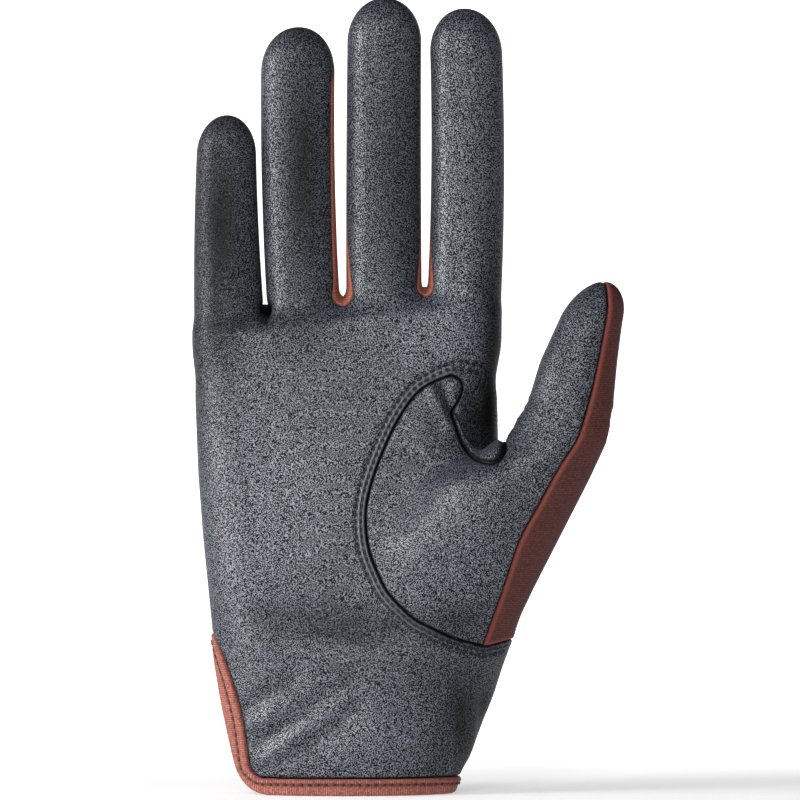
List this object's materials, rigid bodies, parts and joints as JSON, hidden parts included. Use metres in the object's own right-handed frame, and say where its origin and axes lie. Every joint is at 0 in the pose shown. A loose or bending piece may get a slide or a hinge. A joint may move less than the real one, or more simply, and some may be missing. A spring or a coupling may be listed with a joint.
{
  "type": "riding glove",
  "caption": "Right-hand riding glove with a leather palm, ribbed fabric back and finger sides, a bound cuff with a side vent and a plain closure tab, in its worn form.",
  "frame": {"origin": "middle of the cuff's opening, in the plane of the hem, where the hand goes in", "axes": "+Z along the hand towards the fingertips, +Y out of the back of the hand, +X towards the thumb"},
  "size_m": [0.1182, 0.0446, 0.219],
  "materials": {
    "dark_leather": "fine grain, satin",
    "rust_fabric": "ribbed stretch weave",
    "rust_tape": "fine cross ribs"
  },
  "bodies": {
    "root": {"palm_leather": "dark_leather", "thumb_leather": "dark_leather", "thumb_back": "rust_fabric", "hand_back": "rust_fabric", "side_strip_little": "rust_fabric", "side_strip_ring": "rust_fabric", "side_strip_middle": "rust_fabric", "cuff_binding": "rust_tape", "thumb_crotch_welt": "dark_leather", "closure_tab": "dark_leather"}
  },
  "joints": []
}
